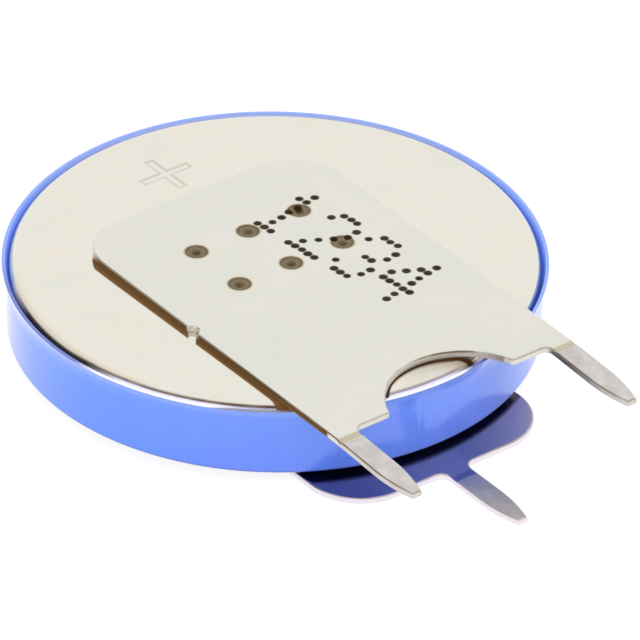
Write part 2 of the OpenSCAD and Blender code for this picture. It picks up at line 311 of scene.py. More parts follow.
def roll_painted_reflection(x, y, side, angle):
    """Brown painted reflection on the rolled upper edge, strongest where the edge faces the camera and in the
    arch.
    """
    front = clamp((TO_CAMERA[0] * side.x + TO_CAMERA[1] * side.y) / 0.6)
    if side.x < -0.7:
        front *= min(1.0, max(0.3, (-y - 1) / 5))
    elif abs(x - TAG_X) < ARCH_R + 0.1 and y > POS_FRONT_Y + 0.3:
        front *= 1 + 2.5 * clamp((x - TAG_X) / 1.5)
    return sin(2 * angle) ** 2 * (0.12 + 0.88 * front)


def left_wall_stain_and_shade(y, side, angle):
    """Brown stain and painted shade on the cut edge on the left, apart from the notch. It reaches further up
    the roll in front.
    """
    if abs(y - NOTCH_Y) < NOTCH_R + 0.02 or y < POS_FRONT_Y + 0.3:
        return 0.0
    start = clamp((TAG_BACK - 1.2 - y) / 0.4)
    power = 1 + 4 * clamp((y + 5) / 7)
    return start * sin(angle) ** power * max(0.0, -side.x) ** 2


# Meshes

def add_mesh(name, verts, faces, normals, masks, material, node):
    """Mesh object in the CAD frame, with its own vertex normals and masks, that stands for a CAD node."""
    mesh = bpy.data.meshes.new(name)
    mesh.from_pydata([Vector(v) * MM for v in verts], [], faces)
    for mask, values in masks.items():
        mesh.attributes.new(mask, "FLOAT", "POINT").data.foreach_set("value", values)
    mesh.materials.append(material)
    mesh.shade_smooth()
    mesh.normals_split_custom_set_from_vertices(normals)
    piece = bpy.data.objects.new(name, mesh)
    scene.collection.objects.link(piece)
    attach(piece, "root")
    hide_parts(node)
    return piece


def tilt(surface, x, y, h=0.004):
    """Direction that points straight up from a face, from its heights at a distance h to each side."""
    fall_x, fall_y = surface(x - h, y) - surface(x + h, y), surface(x, y - h) - surface(x, y + h)
    return Vector((fall_x, fall_y, 2 * h)).normalized()


def rings_of_points(cx, cy, radii, count):
    """Points on rings about a middle. Every second ring is turned by half a step."""
    return [(cx + r * cos(2 * pi * (i + j % 2 / 2) / count), cy + r * sin(2 * pi * (i + j % 2 / 2) / count))
            for j, r in enumerate(radii) for i in range(count)]


def grid_of_points(rim, finer):
    """Points of a staggered grid inside a closed outline, away from it and from the finer points there."""
    taken = {(round(x / GRID_CELL), round(y / GRID_CELL)) for x, y in finer}
    span_x = int(max(abs(x) for x, _ in rim) / GRID_X) + 1
    points = []
    for i in range(-span_x, span_x + 1):
        for j in range(int(TIP_Y / GRID_Y) - 1, int(TAG_BACK / GRID_Y) + 2):
            x, y = (i + j % 2 / 2) * GRID_X, j * GRID_Y
            if (round(x / GRID_CELL), round(y / GRID_CELL)) not in taken and inside(x, y, rim):
                if min(hypot(x - a, y - b) for a, b in rim) > GRID_GAP:
                    points.append((x, y))
    return points


def build_tag(name, node, outline, base_z, slope_y, crease_y, crease_depth, pin_xs, welds_up, dots, material):
    """Stamped sheet with rolled edges, a pressed crease across its pins, weld dishes and printed dots.

    The pins droop from slope_y on. The welds are dishes in the top if welds_up is true, else in the bottom.
    """
    def fall(y):
        return min(0.0, (y - slope_y) * tan(DROOP)) if slope_y is not None else 0.0

    def top(x, y):
        z = base_z + TAG_T - SKIN + fall(y) + crease_height(y, crease_y, crease_depth) - dot_depth(dots, x, y)
        return z + weld_height(x, y) if welds_up else z

    def bottom(x, y):
        return base_z + fall(y) + (0.0 if welds_up else SKIN - weld_height(x, y))

    def pin_part(y):
        """0 on the plate and 1 on the pins, past the crease."""
        return clamp((crease_y - CREASE_L - y) / 0.05)

    def fold_part(y):
        """How strongly the crease is tinted: sharply so on the plate's side, then less along the pin."""
        t = (crease_y + 0.04 - y) / (CREASE_L + 0.1)
        return min(1.0, t / 0.15, (1 - t) / 0.4) if 0 < t < 1 else 0.0

    verts, normals, faces = [], [], []
    # Masks that the material reads: where the cut edge, its painted reflection, stain and shade, the pins,
    # the marks and the dots are
    masks = {mask: [] for mask in ("edge", "line", "left", "pin", "fold", "weld", "pit", "shade")}

    def add_point(place, normal, shade=0.5, **marks):
        verts.append(place)
        normals.append(normal)
        for mask, values in masks.items():
            values.append(shade if mask == "shade" else marks.get(mask, 0.0))

    # Angles from straight up, first round the upper edge and then round the lower one
    profile = [(radians(a), True) for a in (0, 22.5, 45, 67.5, 90)]
    profile += [(radians(a), False) for a in (90, 135, 180)]
    out = normals_2d(outline)
    n = len(outline)
    for angle, upper in profile:
        r = ROLL_R if upper else BURR_R
        for (x, y), way in zip(outline, out):
            inset = r * (1 - sin(angle))
            px, py = x - way.x * inset, y - way.y * inset
            z = top(px, py) - 0.8 * r * (1 - cos(angle)) if upper else bottom(px, py) + r * (1 + cos(angle))
            level = tilt(top if upper else bottom, px, py)
            side = Vector((way.x, way.y, 0)).normalized()
            normal = (level * cos(angle) + side * sin(angle)).normalized()
            add_point((px, py, z), normal, edge=sin(angle) ** 4, left=left_wall_stain_and_shade(y, side, angle),
                      line=roll_painted_reflection(x, y, side, angle) if upper else 0.0, pin=pin_part(py),
                      fold=fold_part(py) if upper else 0.0)
    for k in range(len(profile) - 1):
        for i in range(n):
            j = (i + 1) % n
            faces.append((k * n + i, (k + 1) * n + i, (k + 1) * n + j, k * n + j))

    # The two faces start from the first and the last row of the edge
    crease_rows = [crease_y + 0.06 - 0.03 * i for i in range(15)]
    crease_columns = [(i - 5) * 0.078 for i in range(11)]
    for face, is_top in ((0, True), (len(profile) - 1, False)):
        rim = [verts[face * n + i][:2] for i in range(n)]
        surface = top if is_top else bottom
        points = []
        if is_top == welds_up:
            for wx, wy in WELDS:
                points += [(wx, wy)] + rings_of_points(wx, wy, WELD_RINGS, 32)
        if is_top:
            for dx, dy, size, _ in dots:
                radii = [DOT_R * size * k for k in (0.4, 0.7, 0.88, 1, 1.15)]
                points += [(dx, dy)] + rings_of_points(dx, dy, radii, 14)
            points += [(px + TAG_X + column, y) for px in pin_xs for y in crease_rows
                       for column in crease_columns]
        points += grid_of_points(rim, points)
        made = delaunay_2d_cdt([Vector(p) for p in rim + points], [], [list(range(n))], 1, 1e-6)
        index = []
        for (x, y), source in zip(made[0], made[3]):
            if source and min(source) < n:
                index.append(face * n + min(source))
                continue
            index.append(len(verts))
            normal = tilt(surface, x, y)
            mark, tint = dot_mark(dots, x, y) if is_top else (0.0, 0.5)
            add_point((x, y, surface(x, y)), normal if is_top else -normal, shade=tint, pin=pin_part(y),
                      fold=fold_part(y) if is_top else 0.0, weld=burn(x, y) if is_top == welds_up else 0.0,
                      pit=mark)
        for tri in made[2]:
            tri = [index[v] for v in tri]
            faces.append(tuple(tri if is_top else tri[::-1]))
    return add_mesh(name, verts, faces, normals, masks, material, node)


def revolved(profile, angles):
    """Points, outward normals and faces of a profile, rows of (r, z, normal r, normal z), turned about Z."""
    verts = [(r * cos(a), r * sin(a), z) for a in angles for r, z, _, _ in profile]
    normals = [Vector((nr * cos(a), nr * sin(a), nz)) for a in angles for _, _, nr, nz in profile]
    m, count = len(profile), len(angles)
    faces = [(i * m + k, i * m + k + 1, (i + 1) % count * m + k + 1, (i + 1) % count * m + k)
             for i in range(count) for k in range(m - 1)]
    return verts, normals, faces


def bend(r, z, radius, start, end, steps, inward=False):
    """Profile points of a round bend whose middle is at (r, z), between two angles in degrees."""
    rows = []
    for i in range(steps + 1):
        a = radians(start + (end - start) * i / steps)
        way = -1 if inward else 1
        rows.append((r + radius * cos(a), z + radius * sin(a), way * cos(a), way * sin(a)))
    return rows


def build_can(material):
    """Drawn can: face with a softly stamped plus sign, round corner, side, crimped rim and inside."""
    def sunk(x, y):
        """0 on the face and 1 on the floor of the plus sign."""
        u, v = abs(x), abs(y - PLUS_Y)
        depth = max(min(PLUS_L / 2 - u, PLUS_LINE_W / 2 - v), min(PLUS_L / 2 - v, PLUS_LINE_W / 2 - u))
        t = clamp((depth + 0.08) / 0.2)
        return t * t * (3 - 2 * t)

    def height(x, y):
        return TOP_Z - STAMP_DEPTH * sunk(x, y)

    # Outside from the face's edge down and round the crimp, then back up on the inside
    flat_r, rim_z = CAN_R - CAN_CORNER_R, can_low.z
    inner_r, in_z = CRIMP_R - CAN_T, rim_z + CAN_T
    profile = bend(flat_r, TOP_Z - CAN_CORNER_R, CAN_CORNER_R, 90, 0, 12)
    profile += bend(CAN_R - CRIMP_R, rim_z + CRIMP_R, CRIMP_R, 0, -90, 10)
    profile += bend(RIM_IN_R + 0.04, rim_z + 0.04, 0.04, -90, -180, 3)
    profile += bend(RIM_IN_R + 0.04, in_z - 0.04, 0.04, 180, 90, 3)
    profile += bend(CAN_R - CRIMP_R, rim_z + CRIMP_R, inner_r, -90, 0, 6, True)
    profile += bend(flat_r, TOP_Z - CAN_CORNER_R, CAN_CORNER_R - CAN_T, 0, 90, 4, True)
    profile.append((0.5, TOP_Z - CAN_T, 0, -1))
    count = 360
    verts, normals, faces = revolved(profile, [2 * pi * i / count for i in range(count)])
    stamp = [0.0] * len(verts)
    rim = [verts[i * len(profile)][:2] for i in range(count)]
    points = []
    for r in (9.5, 9.3, 9.0, 8.5, 8.0, 7.0, 6.0, 5.0, 4.0, 3.0, 2.0, 1.0):
        n = max(12, int(2 * pi * r / 0.8))
        ring = [(r * cos(2 * pi * i / n), r * sin(2 * pi * i / n)) for i in range(n)]
        points += [(x, y) for x, y in ring if max(abs(x), abs(y - PLUS_Y)) > PLUS_L / 2 + 0.25]
    steps = range(-36, 37)
    points += [(i * STAMP_STEP, PLUS_Y + j * STAMP_STEP) for i in steps for j in steps
               if min(abs(i), abs(j)) < 10 or (i + j) % 4 == 0]
    made = delaunay_2d_cdt([Vector(p) for p in rim + points], [], [list(range(count))], 1, 1e-6)
    index = []
    for (x, y), source in zip(made[0], made[3]):
        if source and min(source) < count:
            index.append(min(source) * len(profile))
            continue
        index.append(len(verts))
        verts.append((x, y, height(x, y)))
        normals.append(tilt(height, x, y, 0.01))
        stamp.append(4 * sunk(x, y) * (1 - sunk(x, y)))
    faces += [tuple(index[v] for v in tri) for tri in made[2]]
    masks = {"stamp": stamp}
    return add_mesh("Can_shell", verts, faces, normals, masks, material, "positive_can")


def build_sleeve(material):
    """Blue film sleeve: turned in below, flared at its upper edge, with two soft creases down its side."""
    rng = random.Random(11)
    waves = [(k, rng.uniform(0.15, 1) / sqrt(k), rng.uniform(0, 2 * pi)) for k in (3, 5, 8, 13, 21, 34, 55)]
    total = sum(size for _, size, _ in waves)
    top_z, foot_z, edge_r = sleeve_high.z, sleeve_low.z, 0.02
    flare = SLEEVE_R - CAN_R - SLEEVE_T
    flare_z = top_z - SLEEVE_FLARE_H
    flare_r = (SLEEVE_FLARE_H ** 2 + flare ** 2) / (2 * flare)

    def wall(z, r, way):
        """Profile point on the film's outside (way 1) or inside (way -1), whose curve has the radius r."""
        lean = asin(max(0.0, z - flare_z) / r)
        return CAN_R + SLEEVE_T + flare_r - r * cos(lean), z, way * cos(lean), -way * sin(lean)

    # The flare's inside from below, its cut edge, then the outside down to the foot and the lip under it
    steps = [flare_z + (SLEEVE_FLARE_H - 0.05) * i / 8 for i in range(9)]
    lean = degrees(asin(SLEEVE_FLARE_H / flare_r))
    edge_in = wall(top_z - edge_r, flare_r + SLEEVE_T, -1)[0]
    profile = [wall(z, flare_r + SLEEVE_T, -1) for z in steps]
    deep = [clamp((top_z - z - 0.16) / 0.12) for z in steps]
    profile += bend(edge_in + edge_r, top_z - edge_r, edge_r, 180 - lean, 90, 3)
    profile += bend(SLEEVE_R - edge_r, top_z - edge_r, edge_r, 90, -lean, 4)
    rim = [0.0] * len(steps) + [1.0] * 8 + [0.0]
    profile += [wall(z, flare_r, 1) for z in steps[::-1]]
    profile += [wall(flare_z + (foot_z + SLEEVE_FOOT_R - flare_z) * i / 4, flare_r, 1) for i in range(1, 4)]
    profile += bend(CAN_R + SLEEVE_T - SLEEVE_FOOT_R, foot_z + SLEEVE_FOOT_R, SLEEVE_FOOT_R, 0, -90, 5)
    profile += [(LIP_IN_R + 0.03, foot_z, 0, -1), (LIP_IN_R, foot_z + 0.03, -1, 0),
                (LIP_IN_R, foot_z + SLEEVE_LIP_T, -1, 0)]
    creases = [(radians(a), depth) for a, depth in ((-95, 0.008), (-141, 0.005))]
    angles = set(round(2 * pi * i / 480, 6) for i in range(480))
    for a, _ in creases:
        angles |= {round((a + k * 0.0035) % (2 * pi), 6) for k in range(-5, 6)}
    angles = sorted(angles)
    verts, normals, faces = revolved(profile, angles)
    m, count = len(profile), len(angles)

    def round_mask(values):
        """Values of a mask that is the same all round, from those at the start of the profile."""
        return (values + [0.0] * m)[:m] * count

    masks = {"rim": round_mask(rim), "inside": round_mask(deep), "lining": round_mask([1.0] * len(steps))}
    for i, a in enumerate(angles):
        wave = sum(size * cos(k * a + phase) for k, size, phase in waves) / total
        fold = sum(depth * exp(-((((a - c + pi) % (2 * pi)) - pi) / 0.008) ** 2) for c, depth in creases)
        for k, (r, z, nr, _) in enumerate(profile):
            if nr > 0.3:
                r -= FILM_RIPPLE * (1 + wave) + fold
            if z > top_z - 0.1:
                z -= FILM_RIPPLE * (1 - wave)
            verts[i * m + k] = (r * cos(a), r * sin(a), z)
    # The creases tilt the wall's normals
    for i in range(count):
        for k in range(m):
            if profile[k][2] > 0.3:
                ahead, behind = Vector(verts[(i + 1) % count * m + k]), Vector(verts[(i - 1) * m + k])
                along, level = ahead - behind, normals[i * m + k]
                normals[i * m + k] = (level - along * (level.dot(along) / along.length_squared)).normalized()
    return add_mesh("Sleeve_film", verts, faces, normals, masks, material,
                    "insulating_sleeve")


# Materials

def fill(tree, sockets, values):
    """Gives node inputs their values. A value that is another node's socket is linked."""
    for key, value in values.items():
        if isinstance(value, bpy.types.NodeSocket):
            tree.links.new(value, sockets[key])
        else:
            sockets[key].default_value = value


def add_node(tree, kind, inputs=None, **settings):
    """New shader node with its settings and inputs."""
    made = tree.nodes.new(kind)
    for key, value in settings.items():
        setattr(made, key, value)
    fill(tree, made.inputs, inputs or {})
    return made


class Surface:
    """A node material under construction. Coordinates are the object's own, in millimetres."""

    def __init__(self, name):
        self.material = bpy.data.materials.new(name)
        self.material.use_nodes = True
        self.tree = self.material.node_tree
        self.tree.nodes.clear()
        self.shader = self.node("ShaderNodeBsdfPrincipled")
        self.node("ShaderNodeOutputMaterial", {0: self.shader.outputs[0]})
        place = self.node("ShaderNodeTexCoord").outputs["Object"]
        self.mm = self.node("ShaderNodeVectorMath", {0: place, "Scale": 1000}, operation="SCALE").outputs[0]

    def node(self, kind, inputs=None, **settings):
        return add_node(self.tree, kind, inputs, **settings)

    def set(self, **inputs):
        """Sets inputs of the shader. An underscore stands for a space."""
        fill(self.tree, self.shader.inputs, {key.replace("_", " "): value for key, value in inputs.items()})

    def source(self, name):
        """The socket that an input of the shader is linked to."""
        return self.shader.inputs[name].links[0].from_socket

    def mask(self, name):
        """A mask of the mesh."""
        return self.node("ShaderNodeAttribute", attribute_name=name).outputs["Fac"]

    def axes(self):
        """The coordinates along X, Y and Z."""
        apart = self.node("ShaderNodeSeparateXYZ", {0: self.mm})
        return [apart.outputs[axis] for axis in "XYZ"]

    def along(self, direction):
        """The coordinate along a direction."""
        inputs = {0: self.mm, 1: direction}
        return self.node("ShaderNodeVectorMath", inputs, operation="DOT_PRODUCT").outputs["Value"]

    def away_from(self, place):
        """The distance from a place."""
        inputs = {0: self.mm, 1: place}
        return self.node("ShaderNodeVectorMath", inputs, operation="DISTANCE").outputs["Value"]

    def math(self, operation, a, b=0.0, clamped=False):
        """One step of arithmetic, on numbers or sockets."""
        return self.node("ShaderNodeMath", {0: a, 1: b}, operation=operation, use_clamp=clamped).outputs[0]

    def total(self, first, *more):
        for value in more:
            first = self.math("ADD", first, value)
        return first

    def product(self, first, *more):
        for value in more:
            first = self.math("MULTIPLY", first, value)
        return first

    def most(self, first, *more):
        """The highest of several values."""
        for value in more:
            first = self.math("MAXIMUM", first, value)
        return first

    def minus(self, a, b, clamped=False):
        return self.math("SUBTRACT", a, b, clamped)

    def length(self, a, b):
        """Length of the line whose extents are a and b."""
        return self.math("SQRT", self.total(self.product(a, a), self.product(b, b)))

    def noise(self, scale, detail=2.0, stretch=(1, 1, 1), roughness=0.5):
        """Noise whose features are about 1/scale millimetres wide."""
        vector = self.node("ShaderNodeVectorMath", {0: self.mm, 1: stretch}, operation="MULTIPLY").outputs[0]
        inputs = {"Vector": vector, "Scale": scale, "Detail": detail, "Roughness": roughness}
        return self.node("ShaderNodeTexNoise", inputs).outputs["Fac"]

    def span(self, value, low, high, to_low=0.0, to_high=1.0):
        """The range from low to high mapped onto another one, and held at its ends."""
        inputs = {"Value": value, "From Min": low, "From Max": high, "To Min": to_low, "To Max": to_high}
        return self.node("ShaderNodeMapRange", inputs).outputs["Result"]

    def mix(self, factor, a, b):
        """Colour a where the factor is 0, and b where it is 1."""
        return self.node("ShaderNodeMix", {0: factor, 6: a, 7: b}, data_type="RGBA").outputs[2]

    def bump(self, height, distance, normal=None):
        """Bump whose full height is a distance in millimetres."""
        inputs = {"Height": height, "Distance": distance * MM, "Strength": 1.0}
        if normal is not None:
            inputs["Normal"] = normal
        return self.node("ShaderNodeBump", inputs).outputs[0]


def rgb(r, g, b):
    """Colour of a shader socket from the values seen on a screen, 0 to 255."""
    def linear(c):
        c /= 255
        return c / 12.92 if c <= 0.04045 else ((c + 0.055) / 1.055) ** 2.4
    return (linear(r), linear(g), linear(b), 1.0)


def nickel(name, tint, rough, grain):
    """Bright nickel plate on rolled steel: faint stains, fine grain, and slight waves in the sheet."""
    s = Surface(name)
    stain = s.span(s.noise(0.35, 3), 0.35, 0.68)
    warm = s.span(s.noise(1.1, 2), 0.45, 0.75, 0, 0.5)
    r, g, b = tint
    colour = s.mix(stain, rgb(r, g, b), rgb(r - 5, g - 2, b - 4))
    colour = s.mix(warm, colour, rgb(r + 3, g - 4, b - 12))
    grit = s.noise(26, 3)
    waves = s.bump(s.noise(0.5, 1), 0.0025)
    normal = s.bump(s.noise(9, 3, grain), 0.0004, waves)
    s.set(Metallic=1.0, Roughness=s.span(grit, 0.3, 0.8, rough, rough + 0.07), Normal=normal)
    return s, colour


def weld_colour(s, weld, tint):
    """Colour by how burnt a weld is: a faint warm halo, a dark rim, a grey ring and a darker middle."""
    stops = ((0.0, tint), (0.12, (216, 208, 190)), (0.34, (198, 184, 156)), (0.5, (104, 90, 70)),
             (0.56, (120, 106, 86)), (0.70, (134, 122, 100)), (0.80, (112, 98, 78)), (0.92, (84, 68, 50)),
             (1.0, (96, 82, 62)))
    ramp = s.node("ShaderNodeValToRGB", {"Fac": weld})
    while len(ramp.color_ramp.elements) < len(stops):
        ramp.color_ramp.elements.new(0.5)
    for stop, (place, shade) in zip(ramp.color_ramp.elements, stops):
        stop.position, stop.color = place, rgb(*shade)
    olive = s.mix(s.span(s.noise(2.2, 2), 0.45, 0.7, 0, 0.35), ramp.outputs[0], rgb(150, 140, 90))
    return s.mix(s.span(weld, 0.4, 0.5), ramp.outputs[0], olive)


def tag_material(name, tint, pin_tint, pin_rough, edge_tint, edge_part, is_upper_tag):
    """Nickel plate with burnt welds, dark printed dots, dull cut edges and greyer pins.

    is_upper_tag is 1 on the upper tag, with its edge stain and painted edge reflection and shade, and 0 on
    the lower one, with painted shade and reflection on the left.
    """
    s, colour = nickel(name, tint, 0.10, (1, 0.12, 1))
    x, y, z = s.axes()
    speck = s.noise(14, 4)
    weld, pit, edge, pin = (s.mask(mask) for mask in ("weld", "pit", "edge", "pin"))
    line, fold, left = (s.product(s.mask(mask), is_upper_tag) for mask in ("line", "fold", "left"))
    # Pins: greyer, a painted tone for their darker reflection, with random blotches. The crease is tinted,
    # and the rolled edge gets a brown painted reflection.
    r, g, b = pin_tint
    blotched_pin_tone = s.mix(s.span(s.noise(1.4, 4), 0.35, 0.65), rgb(r, g, b), rgb(r - 18, g - 19, b - 18))
    colour = s.mix(pin, colour, blotched_pin_tone)
    colour = s.mix(s.product(fold, 0.75), colour, rgb(190, 178, 150))
    # On the lower tag the crease gets a painted reflection of the blue sleeve, violet grey
    colour = s.mix(s.product(s.mask("fold"), 0.8 * (1 - is_upper_tag)), colour, rgb(132, 122, 146))
    # Painted shade and painted reflection of the shaded sleeve: the lower tag darker and violet towards the
    # left
    colour = s.mix(s.span(x, -1.5, -4.0, 0, 0.6 * (1 - is_upper_tag)), colour, rgb(118, 108, 144))
    # Painted reflection, brown, on the rolled upper edge
    film = s.product(line, s.span(s.noise(1.8, 3), 0.3, 0.7, 0.4, 0.85))
    colour = s.mix(film, colour, rgb(112, 88, 60))
    # Splashes, welds and printed dots
    splash = s.span(s.noise(7, 3, (1, 2, 1)), 0.63, 0.68)
    splash = s.product(splash, s.span(s.away_from(SPLASH), 0.2, 0.6, 0.8, 0))
    colour = s.mix(splash, colour, rgb(96, 84, 60))
    colour = s.mix(s.span(weld, 0.0, 0.05), colour, weld_colour(s, weld, tint))
    specks = s.product(s.span(speck, 0.35, 0.65), s.span(weld, 0.4, 0.5, 0, 0.2))
    colour = s.mix(specks, colour, rgb(60, 46, 30))
    ink = s.mix(s.mask("shade"), rgb(24, 22, 0), rgb(54, 32, 8))
    colour = s.mix(s.product(pit, 0.97), colour, ink)
    # Cut edge: a little duller, with painted light that makes it bright in the arch, and greyer beside the
    # right pin
    bright = s.product(s.span(x, 1.0, 2.0), s.span(y, POS_FRONT_Y + 0.2, POS_FRONT_Y + 0.4))
    cut = s.mix(bright, rgb(*edge_tint), rgb(250, 245, 244))
    colour = s.mix(s.product(edge, s.most(edge_part, bright)), colour, cut)
    greyer_edge = s.product(s.span(x, 3.5, 4.0, 0, is_upper_tag), s.span(y, -14.6, -12.4),
                      s.span(y, POS_FRONT_Y - 0.1, POS_FRONT_Y - 0.3))
    colour = s.mix(s.product(edge, greyer_edge), colour, rgb(112, 100, 96))
    # On the left it has a brown stain, with painted shade that makes it darkest at its top
    stain = s.mix(s.span(z, TOP_Z + 0.08, TOP_Z + 0.2), rgb(126, 92, 54), rgb(70, 50, 16))
    colour = s.mix(left, colour, stain)
    burnt = s.span(weld, 0.35, 0.5)
    rough = s.total(s.product(burnt, 0.3), s.product(pit, 0.6), s.product(s.most(pin, fold), pin_rough),
                    s.product(edge, 0.15))
    metallic = s.minus(s.minus(1.0, s.product(burnt, 0.5)), s.total(pit, left), clamped=True)
    metallic = s.minus(metallic, s.product(edge, 0.6 * is_upper_tag), clamped=True)
    normal = s.bump(s.product(speck, s.most(burnt, pit)), 0.01, s.source("Normal"))
    s.set(Base_Color=colour, Roughness=s.math("ADD", s.source("Roughness"), rough, clamped=True),
          Metallic=metallic, Normal=normal, Specular_IOR_Level=0.0)
    return s.material


def side_painted_reflection(s, x, y):
    """Painted reflection of the upper tag's brown left edge on the can beside it, with a gap where the camera
    sees the notch.
    """
    corner_x, corner_y = TAG_X - POS_HALF_W + BACK_CORNER_R, TAG_BACK - BACK_CORNER_R
    side = s.minus(corner_x, x)
    off = s.minus(s.length(side, s.most(s.minus(y, corner_y), 0.0)), BACK_CORNER_R)
    notch = s.math("ABSOLUTE", s.total(s.minus(y, NOTCH_Y), s.product(off, VIEW_SLOPE)))
    width = s.math("MINIMUM", s.span(y, 2, -6, 0.32, 0.23), s.span(y, 4.2, 3.2, 0.0, 0.32))
    return s.product(s.span(s.minus(off, width), -0.06, 0.0, 1, 0), s.span(y, 4.0, 3.7), s.span(side, 1, 1.5),
                     s.span(y, -8.9, -8.2), s.span(notch, 0.2, 0.26))


def arch_painted_shade(s, x, y):
    """Painted shade on the can inside the arch, soft and hard, brown, both stronger on the right."""
    arch_y = POS_FRONT_Y + ARCH_H - ARCH_R
    depth = s.minus(ARCH_R, s.length(s.minus(x, TAG_X), s.minus(y, arch_y)))
    right = s.span(x, TAG_X - 1.2, TAG_X + 1.6)
    ahead = s.span(y, -8.6, -8.7)
    soft = s.product(s.span(depth, 0.3, 1.0, 0.85, 0), right, ahead, s.span(depth, -0.2, 0.0))
    reach = s.total(0.08, s.product(right, 0.17))
    hard = s.product(s.span(s.minus(depth, reach), -0.03, 0.03, 1, 0), ahead,
                     s.span(s.minus(depth, s.product(right, 0.06)), -0.08, 0.0))
    return soft, hard


def can_material():
    """Clear nickel face, painted reflection beside the tag, painted shade in its arch, painted light and
    shade on the drawn corner.
    """
    s, colour = nickel("Can nickel", (235, 231, 221), 0.05, (1, 1, 1))
    x, y, _ = s.axes()
    inward = s.minus(CAN_R, s.length(x, y))
    start = radians(190)
    turned = s.math("ARCTAN2", s.along((-sin(start), cos(start), 0)), s.along((cos(start), sin(start), 0)))
    angle = s.math("DEGREES", turned)
    # Angles count from the side on the pins' left. The corner gets a pale painted sheen there and a pale blue
    # painted reflection behind.
    pale_painted_sheen = s.product(s.span(inward, 0.34, 0.26), s.span(angle, -42, -34), s.span(angle, 8, 20, 1, 0))
    colour = s.mix(pale_painted_sheen, colour, rgb(224, 216, 200))
    blue_painted_reflection = s.product(s.span(inward, 0.14, 0.10), s.span(angle, -110, -95), s.span(angle, -42, -34, 1, 0))
    colour = s.mix(blue_painted_reflection, colour, rgb(188, 202, 212))
    # A painted shade line round the corner, brown in front and grey under the arch, with a painted highlight,
    # a pale band, outside it
    line = s.product(s.span(inward, 0.13, 0.08), s.span(inward, 0.05, 0.025, 1, 0), s.span(angle, -8, -2),
                     s.span(angle, 84, 90, 1, 0), s.span(s.noise(1.3, 3), 0.3, 0.6, 0.8, 1.0))
    corner_painted_shade = s.mix(s.span(angle, 10, 38), rgb(130, 116, 100), rgb(88, 64, 52))
    corner_painted_shade = s.mix(s.span(angle, 50, 62), corner_painted_shade, rgb(158, 148, 152))
    colour = s.mix(line, colour, corner_painted_shade)
    shown = s.most(s.product(s.span(angle, 0, 8), s.span(angle, 30, 40, 1, 0)), s.span(angle, 58, 66))
    pale = s.product(s.span(inward, 0.05, 0.025), shown, s.span(angle, 85, 89, 1, 0))
    colour = s.mix(pale, colour, rgb(255, 249, 251))
    # On the left the line is black painted shade
    dark = s.product(s.span(inward, 0.095, 0.045), s.span(angle, -36, -24), s.span(angle, -2, 8, 1, 0))
    colour = s.mix(s.product(dark, 0.95), colour, rgb(34, 28, 14))
    # Painted reflection of the tag's left edge, brown
    film = side_painted_reflection(s, x, y)
    colour = s.mix(film, colour, rgb(118, 86, 52))
    # Painted shade inside the arch
    soft, hard = arch_painted_shade(s, x, y)
    colour = s.mix(soft, colour, rgb(150, 130, 100))
    colour = s.mix(hard, colour, rgb(66, 42, 22))
    # Painted shade on the stamp's soft walls
    colour = s.mix(s.product(s.mask("stamp"), 0.8), colour, rgb(202, 196, 184))
    dull = s.most(film, hard, s.product(s.most(dark, line), 0.8), pale, s.product(s.most(pale_painted_sheen, blue_painted_reflection), 0.9))
    s.set(Base_Color=colour, Metallic=s.minus(1.0, dull, clamped=True), Specular_IOR_Level=0.0)
    return s.material


